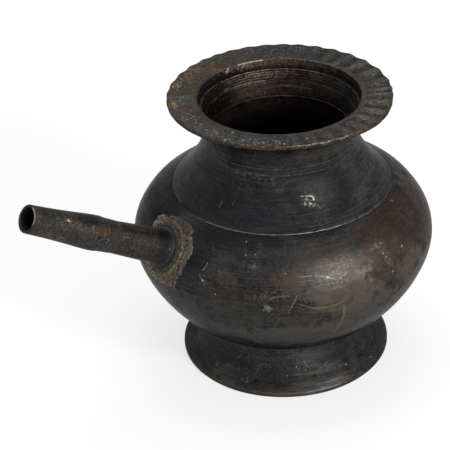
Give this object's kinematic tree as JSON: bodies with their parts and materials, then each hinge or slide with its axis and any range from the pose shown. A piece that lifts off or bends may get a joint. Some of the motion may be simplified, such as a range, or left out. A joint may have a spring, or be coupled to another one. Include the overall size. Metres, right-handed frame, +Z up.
{
  "type": "spouted water pot",
  "caption": "Round-bellied metal water pot with a wide fluted rim, waisted neck, splayed foot and straight pouring spout.",
  "frame": {"origin": "on the ground, at the middle of the whole pot's length and width", "axes": "+Z up, along the pot's own axis; the spout points along -X; the part is symmetrical about the XZ plane but for the ragged solder at the spout's root"},
  "size_m": [0.2053, 0.141, 0.1349],
  "materials": {
    "patinated_brass": "charcoal patina over turned brass, dull satin",
    "spout_brass": "brown patina, worn and slightly pitted",
    "root_solder": "rough olive-brown smeared solder",
    "braze": "reddish braze with verdigris"
  },
  "bodies": {
    "root": {"belly_bowl": "patinated_brass", "neck_collar": "patinated_brass", "rim_flange": "patinated_brass", "foot_ring": "patinated_brass", "foot_solder": "root_solder", "spout_root": "spout_brass", "spout_sleeve": "spout_brass", "sleeve_fillet": "braze", "root_solder": "root_solder"}
  },
  "joints": []
}
